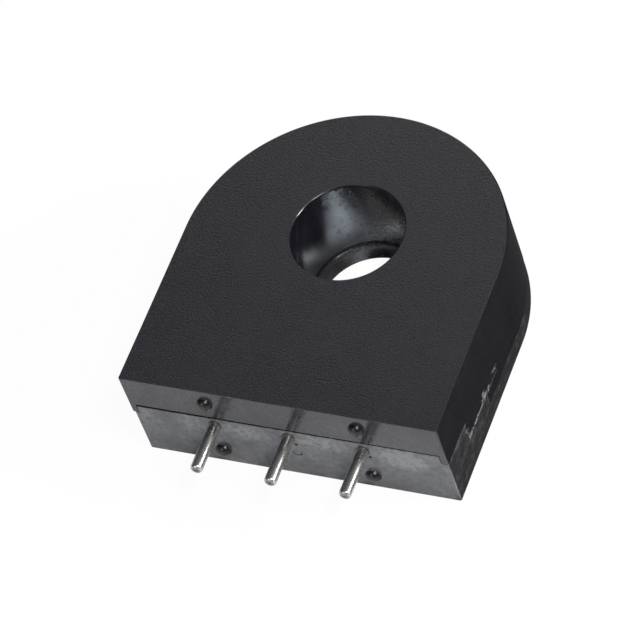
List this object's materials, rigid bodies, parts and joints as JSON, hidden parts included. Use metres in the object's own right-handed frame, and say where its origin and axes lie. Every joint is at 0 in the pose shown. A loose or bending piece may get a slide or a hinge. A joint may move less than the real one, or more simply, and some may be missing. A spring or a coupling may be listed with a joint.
{
  "type": "current transformer",
  "caption": "Board-mounted current transformer: black moulded case with a flat pin side, a round top and a through bore, tinned solder pins and small standoff feet.",
  "frame": {"origin": "on the axis of the primary bore, at the rear face that the body lies on", "axes": "+Z along the bore from the rear face to the front face, -Y towards the pins, +X to the right when the front face is seen with the pins down"},
  "size_m": [0.0218, 0.0265, 0.0076],
  "materials": {
    "case": "fine matte grain on the front face, smoother satin on the sides",
    "pin": "bright tin plate, drawn wire",
    "core": "satin wound alloy tape",
    "foam": "soft closed-cell foam",
    "tray": "natural moulded",
    "winding": "enamelled copper wire",
    "sleeve": "smooth tubing",
    "solder": "bright solder"
  },
  "bodies": {
    "root": {"front_shell": "case", "rear_cover": "case", "pin_left": "pin", "pin_middle": "pin", "pin_right": "pin", "core": "core", "core_pad": "foam", "core_tray": "tray", "core_lid": "tray", "secondary_winding": "winding", "front_cushion": "foam", "rear_cushion": "foam", "start_lead": "winding", "finish_lead": "winding", "start_sleeve": "sleeve", "finish_sleeve": "sleeve", "start_solder": "solder", "finish_solder": "solder"}
  },
  "joints": []
}
